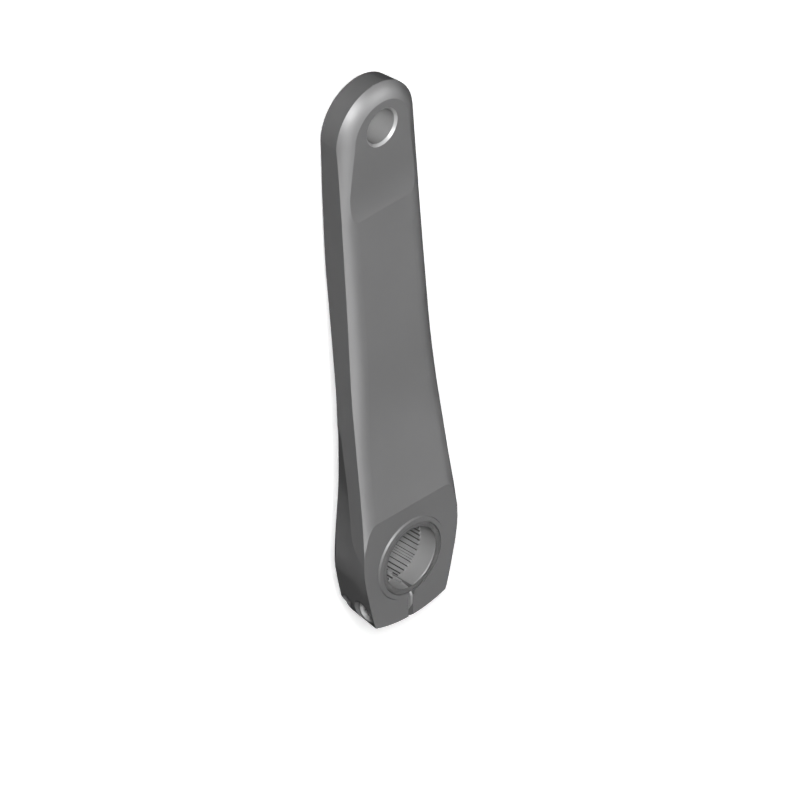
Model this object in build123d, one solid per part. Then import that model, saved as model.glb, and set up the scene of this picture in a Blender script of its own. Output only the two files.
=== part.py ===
"""Left bicycle crank arm, clamp type, with its clamp bolts, washers, stopper plate and seal ring.

Row frame: +X from the spindle to the pedal, +Z towards the frame side (inboard), +Y across the arm.
The origin is on the spindle axis, at the face of the raised ring round the bore. Millimetres.
"""

from build123d import *
import math
import os

os.makedirs("parts", exist_ok=True)

# Arm, whole
crank_length = 170.0
boss_face_z = -0.6
slope_start_x = 21.6
slope_start = 0.187
slope_end = 0.0893
slope_ease_length = 48.4
slope_pad = 0.021
flank_draft = 0.08
blend_radius = 10.0

# Pedal end
crease_to_pedal = 32.6
pad_flat_to_pedal = 20.0
pad_ramp_radius = 82.0
tip_to_pedal = 2.4
pedal_hole_radius = 6.5
pedal_chamfer = 0.85

# Stations along the arm: share of the crank length, half width of the flank, drop from the inner face to
# the flank's inner edge, height of the flank's outer edge, width of the outer blend, height of the outer face
arm_stations = [
    (-0.18, 16.5, 2.10, -15.3, 10.8, -22.0),
    (-0.094, 19.6, 2.10, -14.9, 11.0, -22.0),
    (-0.047, 21.3, 2.10, -14.4, 11.2, -22.0),
    (0.00, 22.4, 2.06, -13.9, 11.3, -22.0),
    (0.06, 22.05, 2.03, -14.2, 11.1, -21.7),
    (0.12, 21.45, 1.44, -14.8, 10.4, -20.8),
    (0.165, 20.98, 1.24, -15.05, 9.75, -20.05),
    (0.21, 20.64, 1.19, -15.4, 9.1, -19.55),
    (0.26, 20.28, 1.26, -15.8, 8.3, -19.15),
    (0.31, 19.91, 1.47, -16.2, 7.0, -18.6),
    (0.355, 19.62, 1.76, -16.8, 6.3, -19.0),
    (0.40, 19.36, 2.04, -17.5, 6.0, -19.7),
    (0.45, 19.08, 2.23, -18.6, 6.0, -20.8),
    (0.495, 18.84, 2.25, -19.6, 6.0, -21.8),
    (0.54, 18.69, 2.19, -20.6, 6.0, -22.8),
    (0.59, 18.53, 2.10, -21.65, 6.0, -23.85),
    (0.635, 18.41, 2.10, -22.6, 6.0, -24.8),
    (0.68, 18.33, 2.07, -23.5, 6.0, -25.7),
    (0.73, 18.24, 1.99, -24.2, 6.0, -26.4),
    (0.775, 18.17, 1.94, -24.7, 6.0, -26.9),
    (0.81, 18.14, 1.90, -25.0, 6.0, -27.2),
    (0.85, 18.10, 2.34, -25.4, 6.0, -27.6),
    (0.89, 18.07, 2.76, -25.65, 6.0, -27.85),
    (0.93, 18.08, 3.19, -25.80, 6.0, -28.0),
    (0.965, 18.12, 3.64, -25.95, 6.0, -28.15),
    (0.99, 18.15, 4.00, -26.05, 6.0, -28.25),
]

# Boss sides: x, half width at the boss face, inward lean per millimetre of depth
side_stations = [
    (-27.0, 10.6, 0.17),
    (-23.2, 14.75, 0.17),
    (-21.8, 15.9, 0.17),
    (-20.4, 16.7, 0.17),
    (-12.2, 18.95, 0.16),
    (-6.9, 20.2, 0.15),
    (-1.8, 21.3, 0.13),
    (3.5, 22.0, 0.12),
    (9.0, 22.35, 0.165),
    (15.0, 22.87, 0.23),
    (21.5, 23.2, 0.295),
    (29.0, 23.65, 0.352),
    (38.0, 24.25, 0.39),
    (44.6, 24.64, 0.40),
    (52.8, 25.1, 0.41),
    (66.0, 28.5, 0.41),
]
side_sections = 46

# Boss end: height, x on the centre line, x at end_half_span to either side
end_half_span = 14.0
end_stations = [
    (0.0, -23.3, -21.5),
    (-2.4, -25.2, -22.75),
    (-6.0, -25.9, -23.05),
    (-12.0, -26.0, -22.6),
    (-15.0, -25.9, -21.5),
    (-18.0, -24.4, -19.1),
    (-20.0, -22.9, -17.3),
    (-24.0, -18.9, -13.1),
    (-30.0, -12.9, -6.8),
]

# Raised ring and spindle bore
ring_top_radius = 15.25
ring_base_radius = 15.65
seat_radius = 13.7
seat_depth = 0.9
bore_radius = 12.0
bore_chamfer = 0.25
plain_entry_depth = 7.9
spline_end_z = -19.0
spline_count = 40
spline_height = 0.8
groove_mouth_share = 0.6
groove_floor_share = 0.4
cap_recess_radius = 13.0

# Clamp bolts, M6 x 19, and washers
bolt_x = -17.9
bolt_in_z = -6.6
bolt_spacing = 9.2
seat_y = 8.5
shank_radius = 3.0
shank_length = 19.0
tip_cone_length = 2.0
tip_radius = 1.86
washer_radius = 4.88
washer_thickness = 0.85
washer_hole_gap = 0.1
shoulder_radius = 3.6
shoulder_height = 0.6
head_radius = 4.42
head_height = 4.6
head_top_round = 0.9
head_bottom_round = 0.3
socket_across_flats = 5.0
socket_depth = 3.4
socket_rim_radius = 3.5
socket_cone_depth = 1.2
counterbore_gap = 0.2
clear_hole_gap = 0.3
thread_hole_gap = 0.03
thread_depth = 0.5
thread_spare_length = 0.5

# Stopper plate in the clamp slit
plate_thickness = 0.95
plate_heel = 6.4
plate_belly = 8.1
hook_wall = 6.4
plate_hole_gap = 0.06
hook_gap = 0.1
stopper_travel = 20.0
pin_radius = 0.9
pin_side_gap = 0.2
pin_bolt_gap = 0.1
pin_root = 1.3
pin_reach = 1.7
bore_gap = 0.05

# Seal ring
seal_height = 0.8
seal_crown = 0.4
seal_seat_gap = 0.1
seal_bore_gap = 0.06

# Sizes that follow from the ones above
bolt_out_z = bolt_in_z - bolt_spacing
slit_width = 2 * (pin_radius + pin_side_gap)
pin_drop = shank_radius + pin_radius + pin_bolt_gap
crease_x = crank_length - crease_to_pedal
pad_flat_x = crank_length - pad_flat_to_pedal
tip_centre_x = crank_length - tip_to_pedal
spline_crest_radius = bore_radius - spline_height


def between(table, column, x):
    """The value of one column of a station table at x, joined smoothly."""
    xs = [row[0] for row in table]
    ys = [row[column] for row in table]
    last = len(xs) - 1
    rises = [(ys[i + 1] - ys[i]) / (xs[i + 1] - xs[i]) for i in range(last)]
    slopes = [rises[0]]
    for before, after in zip(rises, rises[1:]):
        slopes.append(0.0 if before * after <= 0 else 2 * before * after / (before + after))
    slopes.append(rises[-1])
    i = min(max(sum(1 for value in xs if value <= x) - 1, 0), last - 1)
    span = xs[i + 1] - xs[i]
    t = (x - xs[i]) / span
    start = (1 + 2 * t) * (1 - t) ** 2 * ys[i] + t * (1 - t) ** 2 * span * slopes[i]
    end = t * t * (3 - 2 * t) * ys[i + 1] + t * t * (t - 1) * span * slopes[i + 1]
    return start + end


def inner_face_z(x):
    """Height of the inner face: steep at the boss, easing to a steady slope, then nearly level by the pedal."""
    if x > crease_x:
        return inner_face_z(crease_x) - slope_pad * (x - crease_x)
    run = x - slope_start_x
    bend = (slope_start - slope_end) / (2 * slope_ease_length)
    if run <= 0:
        return boss_face_z - slope_start * run
    if run <= slope_ease_length:
        return boss_face_z - slope_start * run + bend * run * run
    eased_z = boss_face_z - slope_start * slope_ease_length + bend * slope_ease_length**2
    return eased_z - slope_end * (run - slope_ease_length)


def half_section(x):
    """Corner and mid-arc points (y, z) of the +Y half of the arm's section, from the inner face outwards."""
    share = x / crank_length
    half_width = between(arm_stations, 1, share)
    drop = between(arm_stations, 2, share)
    low_z = between(arm_stations, 3, share)
    low_width = between(arm_stations, 4, share)
    outer_z = between(arm_stations, 5, share)
    low_depth = low_z - outer_z
    top_z = inner_face_z(x)
    turn = math.acos(1 - drop / blend_radius)
    face_edge = half_width - blend_radius * math.sin(turn)
    mid_y = face_edge + blend_radius * math.sin(turn / 2)
    mid_z = top_z - blend_radius * (1 - math.cos(turn / 2))
    edge_z = top_z - drop
    low_y = half_width - flank_draft * (edge_z - low_z)
    low_radius = (low_width**2 + low_depth**2) / (2 * low_depth)
    low_turn = math.asin(low_width / low_radius)
    outer_y = low_y - low_width
    low_mid_y = outer_y + low_radius * math.sin(low_turn / 2)
    low_mid_z = outer_z + low_radius * (1 - math.cos(low_turn / 2))
    return [
        (face_edge, top_z),
        (mid_y, mid_z),
        (half_width, edge_z),
        (low_y, low_z),
        (low_mid_y, low_mid_z),
        (outer_y, outer_z),
    ]


def half_edges(x, side):
    """The blends and the flank of one side of the section at x."""
    face, mid, edge, low, low_mid, outer = [Vector(x, side * y, z) for y, z in half_section(x)]
    return [ThreePointArc(face, mid, edge), Line(edge, low), ThreePointArc(low, low_mid, outer)]


def full_section(x):
    """The closed cross-section of the arm at x."""
    right = half_edges(x, 1)
    left = half_edges(x, -1)
    return Wire(
        [
            Line(left[0] @ 0, right[0] @ 0),
            right[0],
            right[1],
            right[2],
            Line(right[2] @ 1, left[2] @ 1),
            left[2],
            left[1],
            left[0],
        ]
    )


def lofted(start_x, end_x, count):
    """The arm between two places, through evenly spaced sections."""
    step = (end_x - start_x) / count
    return Solid.make_loft([full_section(start_x + i * step) for i in range(count + 1)])


def along_y(x, z, y_start, y_end, radius):
    """A cylinder along Y between two y values."""
    return Pos(x, (y_start + y_end) / 2, z) * Rot(90, 0, 0) * Cylinder(radius, abs(y_end - y_start))


# The forged arm between the boss and the pedal end, and the round end
arm_start_x = -30.0
forged = lofted(arm_start_x, crease_x, 42)
pedal_end = lofted(crease_x, tip_centre_x, 10)
tip_side = half_edges(tip_centre_x, 1)
tip_top = Vector(tip_centre_x, 0, inner_face_z(tip_centre_x))
tip_bottom = Vector(tip_centre_x, 0, (tip_side[2] @ 1).Z)
tip_profile = Wire(
    [Line(tip_top, tip_side[0] @ 0), *tip_side, Line(tip_side[2] @ 1, tip_bottom), Line(tip_bottom, tip_top)]
)
tip = revolve(Face(tip_profile), Axis((tip_centre_x, 0, 0), (0, 0, -1)), 180)
outer_z = tip_bottom.Z

# The boss: flat inner face, leaning sides and barrelled end
clear = 60.0
arm = forged - Pos(slope_start_x, 0, boss_face_z + clear / 2) * Box(3 * clear, 2 * clear, clear)


def side_cutter(side):
    """What lies outside the leaning side of the boss."""
    wires = []
    start_x = side_stations[0][0]
    step = (side_stations[-1][0] - start_x) / side_sections
    for i in range(side_sections + 1):
        x = start_x + i * step
        half_width = between(side_stations, 1, x)
        lean = between(side_stations, 2, x)
        top_y = half_width + lean
        bottom_y = half_width - lean * clear / 2
        corners = [
            (top_y, boss_face_z + 1),
            (clear, boss_face_z + 1),
            (clear, boss_face_z - clear / 2),
            (bottom_y, boss_face_z - clear / 2),
        ]
        wires.append(Wire(Polyline([Vector(x, side * y, z) for y, z in corners], close=True)))
    return Solid.make_loft(wires)


def end_section(z, middle_x, side_x):
    """Everything inboard of the boss end at one height: an arc at the end and straight sides beyond it."""
    wide = 19.0
    bulge = side_x - middle_x
    radius = (end_half_span**2 + bulge**2) / (2 * bulge)
    wide_x = middle_x + radius - math.sqrt(radius**2 - wide**2)
    arc = ThreePointArc((wide_x, -wide, z), (middle_x, 0, z), (wide_x, wide, z))
    far_x = crank_length + clear
    rest = Polyline(
        (wide_x, wide, z), (wide, 2 * wide, z), (far_x, 2 * wide, z), (far_x, -2 * wide, z), (wide, -2 * wide, z),
        (wide_x, -wide, z),
    )
    return Wire([arc, *rest.edges()])


arm = arm - side_cutter(1) - side_cutter(-1)
arm = arm & Solid.make_loft([end_section(*station) for station in end_stations])
arm = arm + pedal_end + tip

# Pedal pad: a level pocket with a ramp up to the crease
pad_drop = (pad_flat_x - crease_x) ** 2 / (2 * pad_ramp_radius)
pad_z = inner_face_z(crease_x) - pad_drop
ramp_start_x = crease_x - 6
ramp_start_z = pad_z + (pad_flat_x - ramp_start_x) ** 2 / (2 * pad_ramp_radius)
ramp_mid_x = (ramp_start_x + pad_flat_x) / 2
ramp_mid_z = pad_z + (pad_flat_x - ramp_mid_x) ** 2 / (2 * pad_ramp_radius)
pad_profile = Wire(
    [
        ThreePointArc((ramp_start_x, 0, ramp_start_z), (ramp_mid_x, 0, ramp_mid_z), (pad_flat_x, 0, pad_z)),
        Line((pad_flat_x, 0, pad_z), (crank_length + clear, 0, pad_z)),
        Line((crank_length + clear, 0, pad_z), (crank_length + clear, 0, 0)),
        Line((crank_length + clear, 0, 0), (ramp_start_x, 0, 0)),
        Line((ramp_start_x, 0, 0), (ramp_start_x, 0, ramp_start_z)),
    ]
)
arm = arm - extrude(Face(pad_profile), clear / 2, dir=(0, 1, 0), both=True)

# Pedal hole, with a chamfer at each face
arm = arm - Pos(crank_length, 0, (pad_z + outer_z) / 2) * Cylinder(pedal_hole_radius, clear)
mouth = Cone(pedal_hole_radius, pedal_hole_radius + pedal_chamfer, pedal_chamfer)
arm = arm - Pos(crank_length, 0, pad_z - pedal_chamfer / 2) * mouth
arm = arm - Pos(crank_length, 0, outer_z + pedal_chamfer / 2) * Rot(180, 0, 0) * mouth

# Raised ring round the bore
ring_height = -boss_face_z
arm = arm + Pos(0, 0, boss_face_z / 2) * Cone(ring_base_radius, ring_top_radius, ring_height)

# Spindle bore: seal seat, plain entry, splines, recess for the cap on the outer side
entry_end_z = -plain_entry_depth
arm = arm - Pos(0, 0, -seat_depth / 2) * Cylinder(seat_radius, seat_depth)
arm = arm - Pos(0, 0, entry_end_z / 2) * Cylinder(bore_radius, plain_entry_depth)
arm = arm - Pos(0, 0, -seat_depth - bore_chamfer / 2) * Cone(bore_radius, bore_radius + bore_chamfer, bore_chamfer)
arm = arm - Pos(0, 0, spline_end_z / 2) * Cylinder(spline_crest_radius, -spline_end_z + 0.2)
pitch = 2 * math.pi / spline_count
groove_inner = spline_crest_radius - spline_height
mouth_half = spline_crest_radius * math.sin(groove_mouth_share * pitch / 2)
floor_half = bore_radius * math.sin(groove_floor_share * pitch / 2)
inner_half = 2 * mouth_half - floor_half
groove = Polyline(
    (groove_inner, -inner_half),
    (bore_radius, -floor_half),
    (bore_radius, floor_half),
    (groove_inner, inner_half),
    close=True,
)
groove_face = make_face(groove)
grooves = Sketch() + [Rot(0, 0, i * 360 / spline_count) * groove_face for i in range(spline_count)]
arm = arm - Pos(0, 0, spline_end_z) * extrude(grooves, entry_end_z - spline_end_z)
arm = arm - Pos(0, 0, spline_end_z - clear / 2) * Cylinder(cap_recess_radius, clear)

# Clamp slit, open at the boss end
arm = arm - Pos(-clear / 2, 0, 0) * Box(clear, slit_width, 2 * clear)

# Bolt holes: counterbore and clear hole on the head's side, tapped hole on the other
tapped_end = shank_length - seat_y + thread_spare_length
for side, z in ((1, bolt_in_z), (-1, bolt_out_z)):
    arm = arm - along_y(bolt_x, z, side * seat_y, side * clear, washer_radius + counterbore_gap)
    arm = arm - along_y(bolt_x, z, 0, side * clear / 2, shank_radius + clear_hole_gap)
    arm = arm - along_y(bolt_x, z, 0, -side * tapped_end, shank_radius + thread_hole_gap)
    arm = arm - along_y(bolt_x, z, 0, -side * clear, shank_radius - thread_depth)

# Clamp bolt, drawn along +Z with the washer's seat at zero and then turned
head_bottom = washer_thickness + shoulder_height
head_top = head_bottom + head_height
bolt_profile = Polyline(
    (0, -shank_length),
    (tip_radius, -shank_length),
    (shank_radius, -shank_length + tip_cone_length),
    (shank_radius, washer_thickness),
    (shoulder_radius, washer_thickness),
    (shoulder_radius, head_bottom),
    (head_radius, head_bottom),
    (head_radius, head_top),
    (0, head_top),
    close=True,
)
bolt = revolve(Plane.XZ * make_face(bolt_profile), Axis.Z)


def head_edge(z):
    """The outer edge of the bolt's head at one height."""
    circles = bolt.edges().filter_by(GeomType.CIRCLE)
    return circles.filter_by(lambda edge: abs(edge.radius - head_radius) < 0.01 and abs(edge.center().Z - z) < 0.01)


bolt = fillet(head_edge(head_top), head_top_round)
bolt = fillet(head_edge(head_bottom), head_bottom_round)
socket_radius = socket_across_flats / 2
hexagon = RegularPolygon(socket_radius, 6, major_radius=False)
drill_depth = socket_radius * math.tan(math.radians(30))
bolt = bolt - Pos(0, 0, head_top - socket_depth) * extrude(hexagon, socket_depth)
bolt = bolt - Pos(0, 0, head_top - socket_cone_depth / 2) * Cone(socket_radius, socket_rim_radius, socket_cone_depth)
bolt = bolt - Pos(0, 0, head_top - socket_depth - drill_depth / 2) * Cone(0, socket_radius, drill_depth)

# Washer
washer = Cylinder(washer_radius, washer_thickness, align=(Align.CENTER, Align.CENTER, Align.MIN))
washer = washer - Cylinder(shank_radius + washer_hole_gap, 4 * washer_thickness)

in_place = Pos(bolt_x, seat_y, bolt_in_z) * Rot(-90, 0, 0)
out_place = Pos(bolt_x, -seat_y, bolt_out_z) * Rot(90, 0, 0)


# Stopper plate, drawn flat: u along +Z and v along +X, both from the inner bolt's axis
def stopper_plate():
    top = -(bore_radius + bore_gap) - bolt_x
    hook_side = -bolt_spacing - hook_wall
    post_side = -pin_drop - 2.4
    nib_side = -bolt_spacing - 1.6
    corners = [
        (hook_side, 2.5, 0.3),
        (hook_side, -plate_belly + 1.2, 5.4),
        (2.2, -plate_belly, 3.2),
        (plate_heel, -1.2, 4.0),
        (plate_heel, top - 1.7, 3.0),
        (1.3, top - 0.45, 0.0),
        (1.3, top, 0.0),
        (-pin_drop - 1.0, top, 0.3),
        (post_side, top - 1.2, 0.4),
        (post_side, -0.5, 0.0),
        (nib_side, -0.5, 0.0),
        (nib_side, top - 1.2, 0.5),
        (nib_side - 1.1, top - 0.4, 0.6),
        (nib_side - 2.4, top - 0.8, 0.6),
    ]
    plate = make_face(Polyline([(u, v) for u, v, radius in corners], close=True))
    for u, v, radius in corners:
        if radius:
            plate = fillet(plate.vertices().sort_by_distance((u, v, 0))[:1], radius)
    plate = plate - Circle(shank_radius + plate_hole_gap)
    bolt_path = CenterArc((0, 0), bolt_spacing, 180 - stopper_travel, stopper_travel)
    return plate - SlotArc(bolt_path, 2 * (shank_radius + hook_gap))


flat_plate = extrude(stopper_plate(), plate_thickness / 2, both=True)
plate_plane = Plane(origin=(bolt_x, 0, bolt_in_z), x_dir=(0, 0, 1), z_dir=(0, 1, 0))
stopper = plate_plane * flat_plate
pin_z = bolt_in_z - pin_drop
pin_start_x = bolt_x - pin_root
pin_end_x = -(bore_radius - pin_reach)
pin_length = pin_end_x - pin_start_x
stopper = stopper + Pos((pin_start_x + pin_end_x) / 2, 0, pin_z) * Rot(0, 90, 0) * Cylinder(pin_radius, pin_length)

# Seal ring, with a crowned face towards the frame side
seal_outer = seat_radius - seal_seat_gap
seal_inner = bore_radius + seal_bore_gap
seal_crest_z = seal_height - seat_depth
seal_shoulder_z = seal_crest_z - seal_crown
seal_profile = Wire(
    [
        Line((seal_inner, 0, -seat_depth), (seal_outer, 0, -seat_depth)),
        Line((seal_outer, 0, -seat_depth), (seal_outer, 0, seal_shoulder_z)),
        ThreePointArc(
            (seal_outer, 0, seal_shoulder_z),
            ((seal_inner + seal_outer) / 2, 0, seal_crest_z),
            (seal_inner, 0, seal_shoulder_z),
        ),
        Line((seal_inner, 0, seal_shoulder_z), (seal_inner, 0, -seat_depth)),
    ]
)
seal = revolve(Face(seal_profile), Axis.Z)

export_step(arm, "parts/arm.step")
export_step(in_place * bolt, "parts/bolt_in.step")
export_step(out_place * bolt, "parts/bolt_out.step")
export_step(in_place * washer, "parts/washer_in.step")
export_step(out_place * washer, "parts/washer_out.step")
export_step(stopper, "parts/stopper.step")
export_step(seal, "parts/seal.step")
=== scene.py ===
"""Looks of the left bicycle crank arm: finishes, a detailed seal ring, the stage and the camera.

The row frame holds, in metres: +X from the spindle to the pedal, +Y across the arm and
+Z towards the frame side.
"""

import math

import bmesh
import bpy
from mathutils import Matrix, Vector


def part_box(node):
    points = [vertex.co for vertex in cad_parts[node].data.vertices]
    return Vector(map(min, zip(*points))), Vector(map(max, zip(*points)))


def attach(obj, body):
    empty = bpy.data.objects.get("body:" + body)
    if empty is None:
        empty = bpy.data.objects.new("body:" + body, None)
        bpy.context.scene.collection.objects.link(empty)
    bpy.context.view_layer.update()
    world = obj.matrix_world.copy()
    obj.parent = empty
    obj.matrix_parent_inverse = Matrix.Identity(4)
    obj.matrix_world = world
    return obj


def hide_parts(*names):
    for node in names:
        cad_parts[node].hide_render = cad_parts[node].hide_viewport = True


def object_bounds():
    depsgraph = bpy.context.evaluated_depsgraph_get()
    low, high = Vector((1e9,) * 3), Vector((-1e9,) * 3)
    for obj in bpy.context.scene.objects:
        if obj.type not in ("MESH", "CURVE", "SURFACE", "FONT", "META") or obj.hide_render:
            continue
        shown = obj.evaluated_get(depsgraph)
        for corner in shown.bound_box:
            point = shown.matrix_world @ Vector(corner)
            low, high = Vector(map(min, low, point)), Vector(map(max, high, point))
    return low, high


bl_info = {
    "name": "Crank Arm Looks",
    "version": (1, 0, 0),
    "blender": (4, 5, 0),
    "location": "View3D > Sidebar > Crank Arm",
    "description": "Finishes, seal ring, stage and camera for a clamp-type bicycle crank arm",
    "category": "Object",
}

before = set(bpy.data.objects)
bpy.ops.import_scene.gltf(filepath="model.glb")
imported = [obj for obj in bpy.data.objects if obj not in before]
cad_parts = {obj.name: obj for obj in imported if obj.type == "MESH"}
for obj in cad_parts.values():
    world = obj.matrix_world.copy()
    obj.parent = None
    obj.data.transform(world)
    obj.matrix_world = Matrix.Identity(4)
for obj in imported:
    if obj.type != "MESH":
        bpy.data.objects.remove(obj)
cad_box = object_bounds()

MM = 0.001

# Drawing: width of the picture, its scale and the place of the spindle axis in it
PHOTO_PIXELS = 800
PIXELS_PER_MM = 2.979
SPINDLE_PIXEL = (412.17, 558.26)

# Camera
CAMERA_DISTANCE = 2.0
CLIP_NEAR = 0.01
CLIP_FAR = 20.0

# Arm: how far the machined colour, lightened as painted light, and the facing marks reach from the
# bore's and the pedal's axis
PEDAL_X = 170.0 * MM
BORE_REACH = 12.3 * MM
BORE_FACING_REACH = 15.7 * MM
PEDAL_REACH = 7.4 * MM
PEDAL_FACING_REACH = 9.5 * MM

# Splines: the radii between which their grooves' side walls lie, where the shade is painted, and the
# level they start at
GROOVE_INNER = 11.27 * MM
GROOVE_OUTER = 11.9 * MM
SPLINE_TOP_Z = -7.92 * MM

# Clamp bolts: their axes, and the reach of the lathe's marks
BOLT_X = -17.9 * MM
BOLT_IN_Z = -6.6 * MM
BOLT_OUT_Z = -15.8 * MM
TURNING_REACH = 5.0 * MM

# Stampings: scale of the grain along each axis, below 1 where the rolling draws it out
WASHER_STREAKS = (1.0, 1.0, 0.2)
STOPPER_STREAKS = (0.15, 1.0, 1.0)

# Seal ring: the bead's crest inside the outer wall, and the groove inside the crest
BEAD_INSET = 0.75 * MM
GROOVE_INSET = 0.55 * MM
SEAL_STEPS = 160

# Seal ring's section, round from the foot of its outer wall: the radius and the level that a
# corner is measured from, with the millimetres outwards and upwards from there
SEAL_SECTION = (
    ("wall", 0.0, "floor", 0.0),
    ("wall", 0.0, "crest", -0.34),
    ("wall", -0.22, "crest", -0.1),
    ("bead", 0.0, "crest", 0.0),
    ("bead", -0.3, "crest", -0.12),
    ("groove", 0.0, "crest", -0.36),
    ("lip", 0.25, "crest", -0.24),
    ("lip", 0.0, "crest", -0.32),
    ("lip", 0.05, "crest", -0.46),
    ("groove", 0.0, "floor", 0.1),
    ("groove", 0.15, "floor", 0.0),
)

# Floor: its radius, the gap under the arm, its glow to the camera and the light it throws back
FLOOR_RADIUS = 4.0
FLOOR_SEGMENTS = 96
FLOOR_GAP = 0.2 * MM
FLOOR_GLOW = 0.6
FLOOR_BOUNCE = 0.05

# Point that the lamps face, halfway along the arm
LAMP_TARGET = (0.08, 0.0, -0.015)

# Lamps: name, place from the target, width, the setting that gives the power, and whether the
# lamp lights more than gloss
LAMPS = (
    ("Key lamp", (1.78, 1.58, 1.83), 0.75, "key_power", True),
    ("Gloss lamp", (1.41, 1.18, 2.36), 1.6, "gloss_power", False),
    ("Edge gloss lamp", (-0.88, 0.7, 1.66), 1.5, "edge_power", False),
    ("Face gloss lamp", (0.52, -1.15, 1.55), 1.2, "face_power", False),
    ("Fill lamp", (-1.0, -1.3, 0.22), 0.9, "fill_power", True),
)


class ArmFinish(bpy.types.PropertyGroup):
    """The satin anodised finish of the forged arm"""

    colour: bpy.props.FloatVectorProperty(
        name="Anodised colour",
        description="Colour of the anodised skin",
        subtype="COLOR",
        size=3,
        min=0.0,
        max=1.0,
        default=(0.16, 0.16, 0.161),
    )
    # Machined metal and painted light: the colour is made lighter to brighten the bore's shaded walls
    machined_colour_with_painted_light: bpy.props.FloatVectorProperty(
        name="Machined colour with painted light",
        description="Colour of the machined metal in the spindle bore and the pedal hole, lightened as painted light",
        subtype="COLOR",
        size=3,
        min=0.0,
        max=1.0,
        default=(0.28, 0.28, 0.28),
    )
    # Painted shade: a dark colour laid on the splines' groove side walls where shade falls
    painted_groove_shade: bpy.props.FloatVectorProperty(
        name="Painted groove shade",
        description="Colour of the shaded side walls of the splines",
        subtype="COLOR",
        size=3,
        min=0.0,
        max=1.0,
        default=(0.07, 0.07, 0.07),
    )
    roughness: bpy.props.FloatProperty(
        name="Roughness",
        description="How far the satin finish spreads its gloss",
        subtype="FACTOR",
        min=0.0,
        max=1.0,
        default=0.48,
    )
    grain: bpy.props.FloatProperty(
        name="Blasted grain",
        description="Size of the fine dimples that blasting leaves",
        unit="LENGTH",
        precision=5,
        min=0.00005,
        max=0.002,
        default=0.0003,
    )
    cutter_step: bpy.props.FloatProperty(
        name="Facing mark step",
        description="Distance between the facing cutter's rings round the bore and the pedal hole",
        unit="LENGTH",
        precision=5,
        min=0.0001,
        max=0.002,
        default=0.00045,
    )


class HardwareFinish(bpy.types.PropertyGroup):
    """The plated steel of the clamp bolts, washers and stopper plate"""

    bolt_colour: bpy.props.FloatVectorProperty(
        name="Bolt colour",
        description="Colour of the plated bolts",
        subtype="COLOR",
        size=3,
        min=0.0,
        max=1.0,
        default=(0.30, 0.30, 0.30),
    )
    washer_colour: bpy.props.FloatVectorProperty(
        name="Washer colour",
        description="Colour of the plated washers",
        subtype="COLOR",
        size=3,
        min=0.0,
        max=1.0,
        default=(0.34, 0.34, 0.34),
    )
    plate_colour: bpy.props.FloatVectorProperty(
        name="Stopper colour",
        description="Colour of the stamped stopper plate",
        subtype="COLOR",
        size=3,
        min=0.0,
        max=1.0,
        default=(0.28, 0.28, 0.28),
    )
    turning_step: bpy.props.FloatProperty(
        name="Turning mark step",
        description="Distance between the lathe's marks on the bolt heads",
        unit="LENGTH",
        precision=5,
        min=0.00005,
        max=0.001,
        default=0.0002,
    )


class SealShape(bpy.types.PropertyGroup):
    """The seal ring at the mouth of the spindle bore"""

    outer_radius: bpy.props.FloatProperty(
        name="Outer radius",
        description="Radius of the ring's outer wall, inside its seat",
        unit="LENGTH",
        precision=5,
        min=0.012,
        max=0.01365,
        default=0.0136,
    )
    lip_radius: bpy.props.FloatProperty(
        name="Lip radius",
        description="Radius of the free edge of the thin lip",
        unit="LENGTH",
        precision=5,
        min=0.011,
        max=0.0125,
        default=0.01155,
    )
    crest: bpy.props.FloatProperty(
        name="Bead height",
        description="Height of the crowned bead over the floor of the seat",
        unit="LENGTH",
        precision=5,
        min=0.0004,
        max=0.0009,
        default=0.0008,
    )
    colour: bpy.props.FloatVectorProperty(
        name="Rubber colour",
        description="Colour of the moulded rubber",
        subtype="COLOR",
        size=3,
        min=0.0,
        max=1.0,
        default=(0.13, 0.13, 0.13),
    )


class StageSettings(bpy.types.PropertyGroup):
    """The floor, the lamps and the surroundings"""

    floor_colour: bpy.props.FloatVectorProperty(
        name="Floor colour",
        description="Colour of the plain floor",
        subtype="COLOR",
        size=3,
        min=0.0,
        max=1.0,
        default=(0.86, 0.86, 0.86),
    )
    key_power: bpy.props.FloatProperty(
        name="Key lamp power",
        description="Power of the soft lamp beside the camera",
        unit="POWER",
        min=0.0,
        max=200.0,
        default=100.0,
    )
    gloss_power: bpy.props.FloatProperty(
        name="Gloss lamp power",
        description="Power of the lamp that draws highlights and lights nothing else",
        unit="POWER",
        min=0.0,
        max=5000.0,
        default=900.0,
    )
    edge_power: bpy.props.FloatProperty(
        name="Edge gloss lamp power",
        description="Power of the gloss-only lamp for the arm's rounded edge",
        unit="POWER",
        min=0.0,
        max=2000.0,
        default=100.0,
    )
    face_power: bpy.props.FloatProperty(
        name="Face gloss lamp power",
        description="Power of the gloss-only lamp for the sloped inner face",
        unit="POWER",
        min=0.0,
        max=2000.0,
        default=160.0,
    )
    fill_power: bpy.props.FloatProperty(
        name="Fill lamp power",
        description="Power of the weak lamp on the far side",
        unit="POWER",
        min=0.0,
        max=200.0,
        default=6.0,
    )
    surround: bpy.props.FloatProperty(
        name="Surround strength",
        description="Strength of the even light from all round",
        min=0.0,
        max=2.0,
        default=0.02,
    )


def add_socket(group, name, kind, side, value=None):
    """Adds one named input or output to a node group."""
    socket = group.interface.new_socket(name=name, in_out=side, socket_type=kind)
    if value is not None:
        socket.default_value = value


def new_node(tree, kind, x, y, **settings):
    """Adds a node at a place in the tree and sets its settings."""
    node = tree.nodes.new(kind)
    node.location = (x, y)
    for name, value in settings.items():
        setattr(node, name, value)
    return node


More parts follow.
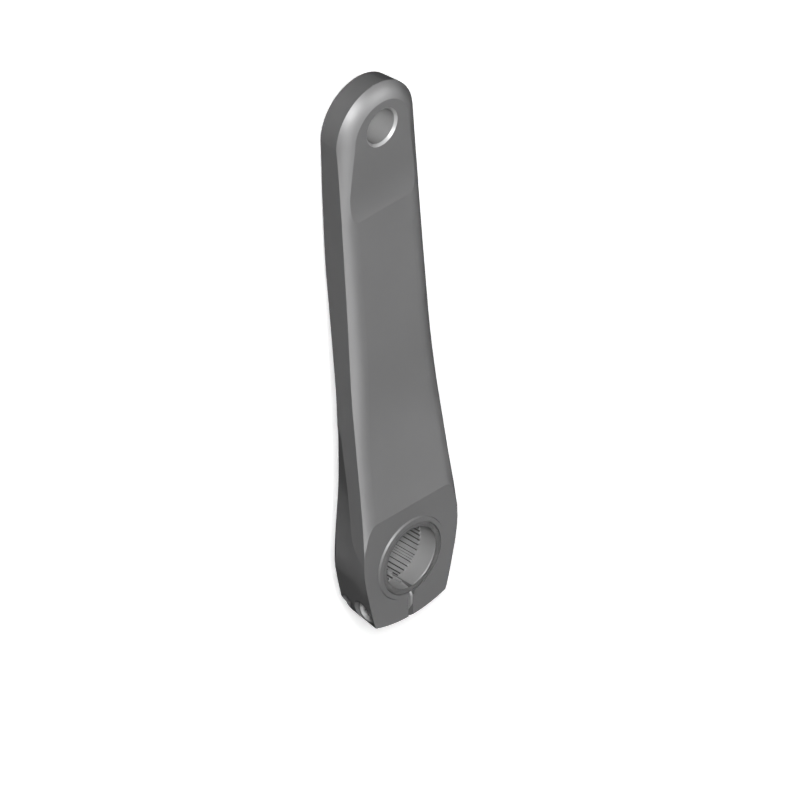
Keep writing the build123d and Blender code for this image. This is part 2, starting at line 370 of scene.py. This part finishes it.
def blasted_grain_group():
    """Fine dimples and a slow drift of tone, over Object coordinates."""
    group = bpy.data.node_groups.new("Blasted grain", "ShaderNodeTree")
    add_socket(group, "Position", "NodeSocketVector", "INPUT")
    add_socket(group, "Grain per Metre", "NodeSocketFloat", "INPUT", 3000.0)
    add_socket(group, "Drift per Metre", "NodeSocketFloat", "INPUT", 40.0)
    add_socket(group, "Height", "NodeSocketFloat", "OUTPUT")
    add_socket(group, "Drift", "NodeSocketFloat", "OUTPUT")
    start = new_node(group, "NodeGroupInput", -600, 0)
    end = new_node(group, "NodeGroupOutput", 400, 0)
    fine = new_node(group, "ShaderNodeTexNoise", -300, 150)
    fine.inputs["Detail"].default_value = 3.0
    fine.inputs["Roughness"].default_value = 0.6
    slow = new_node(group, "ShaderNodeTexNoise", -300, -150)
    slow.inputs["Detail"].default_value = 4.0
    slow.inputs["Roughness"].default_value = 0.55
    links = group.links
    links.new(start.outputs["Position"], fine.inputs["Vector"])
    links.new(start.outputs["Grain per Metre"], fine.inputs["Scale"])
    links.new(start.outputs["Position"], slow.inputs["Vector"])
    links.new(start.outputs["Drift per Metre"], slow.inputs["Scale"])
    links.new(fine.outputs["Fac"], end.inputs["Height"])
    links.new(slow.outputs["Fac"], end.inputs["Drift"])
    return group


def ring_marks_group():
    """Rings that a cutter leaves inside a given radius, round the Z axis of the coordinates."""
    group = bpy.data.node_groups.new("Ring marks", "ShaderNodeTree")
    add_socket(group, "Position", "NodeSocketVector", "INPUT")
    add_socket(group, "Rings per Metre", "NodeSocketFloat", "INPUT", 2200.0)
    add_socket(group, "Reach", "NodeSocketFloat", "INPUT", 0.015)
    add_socket(group, "Height", "NodeSocketFloat", "OUTPUT")
    add_socket(group, "Mask", "NodeSocketFloat", "OUTPUT")
    start = new_node(group, "NodeGroupInput", -900, 0)
    end = new_node(group, "NodeGroupOutput", 500, 0)
    flat = new_node(group, "ShaderNodeVectorMath", -700, 0, operation="MULTIPLY")
    flat.inputs[1].default_value = (1.0, 1.0, 0.0)
    radius = new_node(group, "ShaderNodeVectorMath", -500, 0, operation="LENGTH")
    count = new_node(group, "ShaderNodeMath", -300, 100, operation="MULTIPLY")
    turn = new_node(group, "ShaderNodeMath", -100, 100, operation="MULTIPLY")
    turn.inputs[1].default_value = 2 * math.pi
    wave = new_node(group, "ShaderNodeMath", 100, 100, operation="SINE")
    inside = new_node(group, "ShaderNodeMath", -100, -150, operation="LESS_THAN")
    height = new_node(group, "ShaderNodeMath", 300, 100, operation="MULTIPLY")
    links = group.links
    links.new(start.outputs["Position"], flat.inputs[0])
    links.new(flat.outputs["Vector"], radius.inputs[0])
    links.new(radius.outputs["Value"], count.inputs[0])
    links.new(start.outputs["Rings per Metre"], count.inputs[1])
    links.new(count.outputs["Value"], turn.inputs[0])
    links.new(turn.outputs["Value"], wave.inputs[0])
    links.new(radius.outputs["Value"], inside.inputs[0])
    links.new(start.outputs["Reach"], inside.inputs[1])
    links.new(wave.outputs["Value"], height.inputs[0])
    links.new(inside.outputs["Value"], height.inputs[1])
    links.new(height.outputs["Value"], end.inputs["Height"])
    links.new(inside.outputs["Value"], end.inputs["Mask"])
    return group


def place_group(tree, name, maker, x, y):
    """A node in the tree that holds the named group, which is made on its first use."""
    node = new_node(tree, "ShaderNodeGroup", x, y)
    node.node_tree = bpy.data.node_groups.get(name) or maker()
    return node


def new_material(name, colour, metallic, roughness, gloss=0.0):
    """A material with one Principled shader, and the tree's Object coordinates."""
    material = bpy.data.materials.new(name)
    material.use_nodes = True
    material.diffuse_color = (*colour, 1.0)
    tree = material.node_tree
    tree.nodes.clear()
    output = new_node(tree, "ShaderNodeOutputMaterial", 900, 0)
    shader = new_node(tree, "ShaderNodeBsdfPrincipled", 600, 0)
    shader.inputs["Base Color"].default_value = (*colour, 1.0)
    shader.inputs["Metallic"].default_value = metallic
    shader.inputs["Roughness"].default_value = roughness
    shader.inputs["Specular IOR Level"].default_value = gloss
    shader.inputs["Specular Tint"].default_value = (0.0, 0.0, 0.0, 1.0)
    tree.links.new(shader.outputs["BSDF"], output.inputs["Surface"])
    place = new_node(tree, "ShaderNodeTexCoord", -1300, 0)
    return material, tree, shader, place.outputs["Object"]


def centred(tree, position, centre, x, y, turn=(0.0, 0.0, 0.0)):
    """The coordinates moved so that the centre is at zero, then turned."""
    shift = new_node(tree, "ShaderNodeMapping", x, y, vector_type="TEXTURE")
    shift.inputs["Location"].default_value = centre
    shift.inputs["Rotation"].default_value = turn
    tree.links.new(position, shift.inputs["Vector"])
    return shift.outputs["Vector"]


def grained(tree, position, grain_per_metre, drift_per_metre):
    """The height of the fine grain and the slow drift of tone, each with its own size."""
    grain = place_group(tree, "Blasted grain", blasted_grain_group, -900, 200)
    grain.inputs["Grain per Metre"].default_value = grain_per_metre
    grain.inputs["Drift per Metre"].default_value = drift_per_metre
    tree.links.new(position, grain.inputs["Position"])
    return grain.outputs["Height"], grain.outputs["Drift"]


def ringed(tree, position, step, reach, y):
    """The height of a cutter's rings round the Z axis of the coordinates."""
    rings = place_group(tree, "Ring marks", ring_marks_group, -700, y)
    rings.inputs["Rings per Metre"].default_value = 1.0 / step
    rings.inputs["Reach"].default_value = reach
    tree.links.new(position, rings.inputs["Position"])
    return rings.outputs["Height"]


def round_mask(tree, position, reach, x, y):
    """A mask that is 1 inside a radius round the Z axis of the coordinates."""
    rings = place_group(tree, "Ring marks", ring_marks_group, x, y)
    rings.inputs["Reach"].default_value = reach
    tree.links.new(position, rings.inputs["Position"])
    return rings.outputs["Mask"]


def painted_groove_shade_mask(tree, position, x, y):
    """A mask that is 1 on the side walls of the splines' grooves, where the shade is painted."""
    within = round_mask(tree, position, GROOVE_OUTER, x, y)
    crests = round_mask(tree, position, GROOVE_INNER, x, y - 200)
    walls = new_node(tree, "ShaderNodeMath", x + 200, y, operation="SUBTRACT")
    split = new_node(tree, "ShaderNodeSeparateXYZ", x, y - 400)
    below = new_node(tree, "ShaderNodeMath", x + 200, y - 400, operation="LESS_THAN")
    below.inputs[1].default_value = SPLINE_TOP_Z
    mask = new_node(tree, "ShaderNodeMath", x + 400, y, operation="MULTIPLY")
    links = tree.links
    links.new(within, walls.inputs[0])
    links.new(crests, walls.inputs[1])
    links.new(position, split.inputs["Vector"])
    links.new(split.outputs["Z"], below.inputs[0])
    links.new(walls.outputs["Value"], mask.inputs[0])
    links.new(below.outputs["Value"], mask.inputs[1])
    return mask.outputs["Value"]


def toned(tree, shader, drift, darkest, lightest):
    """Lets the shader's base colour drift a little darker and lighter over the surface."""
    colour = shader.inputs["Base Color"].default_value[:3]
    mix = new_node(tree, "ShaderNodeMix", -300, 300, data_type="RGBA", blend_type="MIX")
    mix.inputs["A"].default_value = (*[c * darkest for c in colour], 1.0)
    mix.inputs["B"].default_value = (*[c * lightest for c in colour], 1.0)
    tree.links.new(drift, mix.inputs["Factor"])
    tree.links.new(mix.outputs["Result"], shader.inputs["Base Color"])


def recoloured(tree, shader, colour, mask, x):
    """Shows another colour than the one so far where the mask is 1."""
    so_far = shader.inputs["Base Color"].links[0].from_socket
    mix = new_node(tree, "ShaderNodeMix", x, 400, data_type="RGBA", blend_type="MIX")
    mix.inputs["B"].default_value = (*colour, 1.0)
    tree.links.new(so_far, mix.inputs["A"])
    tree.links.new(mask, mix.inputs["Factor"])
    tree.links.new(mix.outputs["Result"], shader.inputs["Base Color"])


def roughened(tree, shader, drift, smoother, rougher):
    """Lets the shader's roughness drift by so much below and above its value."""
    roughness = shader.inputs["Roughness"].default_value
    spread = new_node(tree, "ShaderNodeMapRange", -300, 50)
    spread.inputs["To Min"].default_value = roughness - smoother
    spread.inputs["To Max"].default_value = roughness + rougher
    tree.links.new(drift, spread.inputs["Value"])
    tree.links.new(spread.outputs["Result"], shader.inputs["Roughness"])


def bumped(tree, shader, height, depth, strength, x):
    """Adds a bump of the given depth, on top of the one before it if there is one."""
    node = new_node(tree, "ShaderNodeBump", x, -150)
    node.inputs["Strength"].default_value = strength
    node.inputs["Distance"].default_value = depth
    tree.links.new(height, node.inputs["Height"])
    if shader.inputs["Normal"].is_linked:
        tree.links.new(shader.inputs["Normal"].links[0].from_socket, node.inputs["Normal"])
    tree.links.new(node.outputs["Normal"], shader.inputs["Normal"])


def anodised_arm_material(finish):
    """Blasted and anodised aluminium, machined in the bore and the pedal hole and faced round them,
    with painted light in the machined colour and painted shade on the groove walls.
    """
    material, tree, shader, position = new_material(
        "Anodised aluminium", tuple(finish.colour), metallic=0.1, roughness=finish.roughness
    )
    height, drift = grained(tree, position, 1.0 / finish.grain, drift_per_metre=30.0)
    at_pedal = centred(tree, position, (PEDAL_X, 0.0, 0.0), -1000, -350)
    bore_rings = ringed(tree, position, finish.cutter_step, BORE_FACING_REACH, -100)
    pedal_rings = ringed(tree, at_pedal, finish.cutter_step, PEDAL_FACING_REACH, -350)
    bore = round_mask(tree, position, BORE_REACH, -700, 600)
    pedal_hole = round_mask(tree, at_pedal, PEDAL_REACH, -700, 850)
    painted_shade_walls = painted_groove_shade_mask(tree, position, -700, 1200)
    toned(tree, shader, drift, darkest=0.93, lightest=1.07)
    # Machined metal with painted light: a lighter colour that brightens the shaded walls of the bore
    # and the pedal hole
    recoloured(tree, shader, tuple(finish.machined_colour_with_painted_light), bore, -50)
    recoloured(tree, shader, tuple(finish.machined_colour_with_painted_light), pedal_hole, 200)
    # Painted shade: the groove walls get a dark colour in place of the shade that falls there
    recoloured(tree, shader, tuple(finish.painted_groove_shade), painted_shade_walls, 400)
    roughened(tree, shader, drift, smoother=0.05, rougher=0.06)
    bumped(tree, shader, height, depth=0.03 * MM, strength=0.35, x=-300)
    bumped(tree, shader, bore_rings, depth=0.004 * MM, strength=0.5, x=-50)
    bumped(tree, shader, pedal_rings, depth=0.004 * MM, strength=0.5, x=200)
    return material


def plated_bolt_material(name, finish, axis_z):
    """Turned and plated steel, with the lathe's rings round the bolt's axis."""
    material, tree, shader, position = new_material(
        name, tuple(finish.bolt_colour), metallic=0.06, roughness=0.52
    )
    height, drift = grained(tree, position, grain_per_metre=5000.0, drift_per_metre=160.0)
    along_z = (math.radians(90), 0.0, 0.0)
    at_bolt = centred(tree, position, (BOLT_X, 0.0, axis_z), -1000, -100, turn=along_z)
    rings = ringed(tree, at_bolt, finish.turning_step, TURNING_REACH, -100)
    toned(tree, shader, drift, darkest=0.9, lightest=1.1)
    roughened(tree, shader, drift, smoother=0.04, rougher=0.05)
    bumped(tree, shader, height, depth=0.01 * MM, strength=0.3, x=-300)
    bumped(tree, shader, rings, depth=0.003 * MM, strength=0.6, x=0)
    return material


def stamped_steel_material(name, colour, roughness, streaks):
    """Plated sheet steel, with its rolled streaks drawn out along one direction."""
    material, tree, shader, position = new_material(
        name, colour, metallic=0.06, roughness=roughness
    )
    drawn = new_node(tree, "ShaderNodeMapping", -1100, 200)
    drawn.inputs["Scale"].default_value = streaks
    tree.links.new(position, drawn.inputs["Vector"])
    height, drift = grained(
        tree, drawn.outputs["Vector"], grain_per_metre=4000.0, drift_per_metre=220.0
    )
    toned(tree, shader, drift, darkest=0.88, lightest=1.12)
    roughened(tree, shader, drift, smoother=0.06, rougher=0.06)
    bumped(tree, shader, height, depth=0.012 * MM, strength=0.5, x=-300)
    return material


def seal_rubber_material(colour):
    """Moulded rubber: matt, with a faint bloom."""
    material, tree, shader, position = new_material(
        "Seal rubber", colour, metallic=0.0, roughness=0.55, gloss=0.1
    )
    height, drift = grained(tree, position, grain_per_metre=6000.0, drift_per_metre=120.0)
    toned(tree, shader, drift, darkest=0.85, lightest=1.2)
    roughened(tree, shader, drift, smoother=0.09, rougher=0.07)
    bumped(tree, shader, height, depth=0.01 * MM, strength=0.4, x=-300)
    return material


def dress(node, material):
    """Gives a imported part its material."""
    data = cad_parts[node].data
    data.materials.clear()
    data.materials.append(material)


def mesh_data(name, mesh):
    """The finished mesh under its name, with the bmesh set free."""
    data = bpy.data.meshes.new(name)
    mesh.to_mesh(data)
    mesh.free()
    return data


def seal_ring_mesh(shape):
    """The seal ring, spun from its section."""
    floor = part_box("seal")[0].z
    bead = shape.outer_radius - BEAD_INSET
    radii = {
        "wall": shape.outer_radius,
        "bead": bead,
        "groove": bead - GROOVE_INSET,
        "lip": shape.lip_radius,
    }
    levels = {"floor": floor, "crest": floor + shape.crest}
    mesh = bmesh.new()
    corners = [
        mesh.verts.new((radii[edge] + outwards * MM, 0.0, levels[level] + upwards * MM))
        for edge, outwards, level, upwards in SEAL_SECTION
    ]
    edges = [mesh.edges.new((a, b)) for a, b in zip(corners, corners[1:] + corners[:1])]
    bmesh.ops.spin(
        mesh,
        geom=corners + edges,
        cent=(0.0, 0.0, 0.0),
        axis=(0.0, 0.0, 1.0),
        dvec=(0.0, 0.0, 0.0),
        angle=2 * math.pi,
        steps=SEAL_STEPS,
        use_merge=True,
        use_normal_flip=False,
        use_duplicate=False,
    )
    bmesh.ops.recalc_face_normals(mesh, faces=mesh.faces)
    return mesh_data("seal_ring", mesh)


class CRANK_OT_finish_arm(bpy.types.Operator):
    """Give the forged arm its anodised finish"""

    bl_idname = "crank.finish_arm"
    bl_label = "Finish Arm"

    def execute(self, context):
        dress("arm", anodised_arm_material(context.scene.crank_arm_finish))
        return {"FINISHED"}


class CRANK_OT_finish_clamp_bolts(bpy.types.Operator):
    """Give the two clamp bolts their turned and plated finish"""

    bl_idname = "crank.finish_clamp_bolts"
    bl_label = "Finish Clamp Bolts"

    def execute(self, context):
        finish = context.scene.crank_hardware_finish
        dress("bolt_in", plated_bolt_material("Inner bolt steel", finish, BOLT_IN_Z))
        dress("bolt_out", plated_bolt_material("Outer bolt steel", finish, BOLT_OUT_Z))
        return {"FINISHED"}


class CRANK_OT_finish_stampings(bpy.types.Operator):
    """Give the washers and the stopper plate their stamped steel finish"""

    bl_idname = "crank.finish_stampings"
    bl_label = "Finish Washers and Stopper"

    def execute(self, context):
        finish = context.scene.crank_hardware_finish
        washer_steel = stamped_steel_material(
            "Washer steel", tuple(finish.washer_colour), roughness=0.5, streaks=WASHER_STREAKS
        )
        stopper_steel = stamped_steel_material(
            "Stopper steel", tuple(finish.plate_colour), roughness=0.54, streaks=STOPPER_STREAKS
        )
        dress("washer_in", washer_steel)
        dress("washer_out", washer_steel)
        dress("stopper", stopper_steel)
        return {"FINISHED"}


class CRANK_OT_make_seal_ring(bpy.types.Operator):
    """Model the seal ring with its outer wall, crowned bead, groove and thin lip"""

    bl_idname = "crank.make_seal_ring"
    bl_label = "Make Seal Ring"

    def execute(self, context):
        shape = context.scene.crank_seal_shape
        data = seal_ring_mesh(shape)
        data.shade_smooth()
        data.materials.append(seal_rubber_material(tuple(shape.colour)))
        ring = bpy.data.objects.new("seal_ring", data)
        context.scene.collection.objects.link(ring)
        rounding = ring.modifiers.new("Rounding", "SUBSURF")
        rounding.levels = 1
        rounding.render_levels = 1
        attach(ring, "arm")
        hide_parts("seal")
        return {"FINISHED"}


def photo_camera(scene):
    """The drawing's camera: parallel view along the row's main diagonal, with the arm upright."""
    towards = Vector((1.0, 1.0, 1.0)).normalized()
    right = Vector((0.0, -1.0, 1.0)).normalized()
    up = towards.cross(right)
    middle = PHOTO_PIXELS / 2
    across = (middle - SPINDLE_PIXEL[0]) / PIXELS_PER_MM * MM
    along = (SPINDLE_PIXEL[1] - middle) / PIXELS_PER_MM * MM
    data = bpy.data.cameras.new("Drawing camera")
    data.type = "ORTHO"
    data.ortho_scale = PHOTO_PIXELS / PIXELS_PER_MM * MM
    data.clip_start = CLIP_NEAR
    data.clip_end = CLIP_FAR
    camera = bpy.data.objects.new("Drawing camera", data)
    place = Matrix((right, up, towards)).transposed().to_4x4()
    place.translation = right * across + up * along + towards * CAMERA_DISTANCE
    camera.matrix_world = place
    scene.collection.objects.link(camera)
    scene.camera = camera


def white_to_camera(tree, surface, lit, x, y):
    """Joins a shader that the camera and reflections see with one that lights the object."""
    path = new_node(tree, "ShaderNodeLightPath", x - 600, y + 300)
    gloss = new_node(tree, "ShaderNodeMath", x - 400, y + 300, operation="MAXIMUM")
    clear = new_node(tree, "ShaderNodeMath", x - 200, y + 300, operation="MAXIMUM")
    join = new_node(tree, "ShaderNodeMixShader", x, y)
    links = tree.links
    links.new(path.outputs["Is Camera Ray"], gloss.inputs[0])
    links.new(path.outputs["Is Glossy Ray"], gloss.inputs[1])
    links.new(gloss.outputs["Value"], clear.inputs[0])
    links.new(path.outputs["Is Transmission Ray"], clear.inputs[1])
    links.new(clear.outputs["Value"], join.inputs["Fac"])
    links.new(lit, join.inputs[1])
    links.new(surface, join.inputs[2])
    return join.outputs["Shader"]


def pale_floor_material(colour):
    """Matt and a little glowing to the camera, which keeps the shadow, and dim to the object."""
    material = bpy.data.materials.new("Pale floor")
    material.use_nodes = True
    tree = material.node_tree
    tree.nodes.clear()
    matt = new_node(tree, "ShaderNodeBsdfDiffuse", -300, 100)
    matt.inputs["Color"].default_value = (*colour, 1.0)
    glow = new_node(tree, "ShaderNodeEmission", -300, -100)
    glow.inputs["Strength"].default_value = FLOOR_GLOW
    both = new_node(tree, "ShaderNodeAddShader", -100, 0)
    bounce = new_node(tree, "ShaderNodeBsdfDiffuse", -100, -200)
    bounce.inputs["Color"].default_value = (FLOOR_BOUNCE, FLOOR_BOUNCE, FLOOR_BOUNCE, 1.0)
    output = new_node(tree, "ShaderNodeOutputMaterial", 300, 0)
    tree.links.new(matt.outputs["BSDF"], both.inputs[0])
    tree.links.new(glow.outputs["Emission"], both.inputs[1])
    joined = white_to_camera(tree, both.outputs["Shader"], bounce.outputs["BSDF"], 100, 0)
    tree.links.new(joined, output.inputs["Surface"])
    return material


def make_floor(scene, colour):
    """A plain round floor just under the arm."""
    centre = (LAMP_TARGET[0], LAMP_TARGET[1], cad_box[0].z - FLOOR_GAP)
    mesh = bmesh.new()
    bmesh.ops.create_circle(mesh, cap_ends=True, segments=FLOOR_SEGMENTS, radius=FLOOR_RADIUS)
    bmesh.ops.translate(mesh, verts=mesh.verts, vec=centre)
    data = mesh_data("floor", mesh)
    data.materials.append(pale_floor_material(colour))
    floor = bpy.data.objects.new("floor", data)
    scene.collection.objects.link(floor)


def make_surround(scene, strength):
    """White behind the object and an even, weak light on it."""
    world = bpy.data.worlds.new("Studio")
    scene.world = world
    world.use_nodes = True
    tree = world.node_tree
    tree.nodes.clear()
    white = new_node(tree, "ShaderNodeBackground", -300, 100)
    white.inputs["Color"].default_value = (1.0, 1.0, 1.0, 1.0)
    white.inputs["Strength"].default_value = 1.0
    even = new_node(tree, "ShaderNodeBackground", -300, -100)
    even.inputs["Color"].default_value = (1.0, 1.0, 1.0, 1.0)
    even.inputs["Strength"].default_value = strength
    output = new_node(tree, "ShaderNodeOutputWorld", 300, 0)
    joined = white_to_camera(tree, white.outputs["Background"], even.outputs["Background"], 100, 0)
    tree.links.new(joined, output.inputs["Surface"])


def hang_lamps(scene, settings):
    """Round soft lamps that all face the arm."""
    target = Vector(LAMP_TARGET)
    for name, offset, width, power, lights_all in LAMPS:
        data = bpy.data.lights.new(name, "AREA")
        data.shape = "DISK"
        data.size = width
        data.energy = getattr(settings, power)
        lamp = bpy.data.objects.new(name, data)
        lamp.location = target + Vector(offset)
        lamp.rotation_euler = (-Vector(offset)).to_track_quat("-Z", "Y").to_euler()
        lamp.visible_diffuse = lights_all
        scene.collection.objects.link(lamp)


class CRANK_OT_set_stage(bpy.types.Operator):
    """Lay the floor, hang the lamps and place the camera"""

    bl_idname = "crank.set_stage"
    bl_label = "Set Stage"

    def execute(self, context):
        settings = context.scene.crank_stage
        photo_camera(context.scene)
        make_floor(context.scene, tuple(settings.floor_colour))
        make_surround(context.scene, settings.surround)
        hang_lamps(context.scene, settings)
        context.scene.view_settings.view_transform = "Standard"
        return {"FINISHED"}


class CRANK_PT_looks(bpy.types.Panel):
    """The crank arm's finishes, seal and stage"""

    bl_label = "Crank Arm Looks"
    bl_idname = "CRANK_PT_looks"
    bl_space_type = "VIEW_3D"
    bl_region_type = "UI"
    bl_category = "Crank Arm"

    def draw(self, context):
        scene = context.scene
        groups = (
            (scene.crank_arm_finish, ("crank.finish_arm",)),
            (scene.crank_hardware_finish, ("crank.finish_clamp_bolts", "crank.finish_stampings")),
            (scene.crank_seal_shape, ("crank.make_seal_ring",)),
            (scene.crank_stage, ("crank.set_stage",)),
        )
        for settings, operators in groups:
            box = self.layout.box()
            for name in settings.bl_rna.properties.keys():
                if name not in ("rna_type", "name"):
                    box.prop(settings, name)
            for operator in operators:
                box.operator(operator)


CLASSES = (
    ArmFinish,
    HardwareFinish,
    SealShape,
    StageSettings,
    CRANK_OT_finish_arm,
    CRANK_OT_finish_clamp_bolts,
    CRANK_OT_finish_stampings,
    CRANK_OT_make_seal_ring,
    CRANK_OT_set_stage,
    CRANK_PT_looks,
)


def register():
    """Adds the classes and their settings to Blender."""
    for item in CLASSES:
        bpy.utils.register_class(item)
    bpy.types.Scene.crank_arm_finish = bpy.props.PointerProperty(type=ArmFinish)
    bpy.types.Scene.crank_hardware_finish = bpy.props.PointerProperty(type=HardwareFinish)
    bpy.types.Scene.crank_seal_shape = bpy.props.PointerProperty(type=SealShape)
    bpy.types.Scene.crank_stage = bpy.props.PointerProperty(type=StageSettings)


def unregister():
    """Takes the classes and their settings out of Blender."""
    del bpy.types.Scene.crank_stage
    del bpy.types.Scene.crank_seal_shape
    del bpy.types.Scene.crank_hardware_finish
    del bpy.types.Scene.crank_arm_finish
    for item in reversed(CLASSES):
        bpy.utils.unregister_class(item)


def main():
    """Makes every piece."""
    register()
    bpy.ops.crank.finish_arm()
    bpy.ops.crank.finish_clamp_bolts()
    bpy.ops.crank.finish_stampings()
    bpy.ops.crank.make_seal_ring()
    bpy.ops.crank.set_stage()


if __name__ == "__main__":
    main()
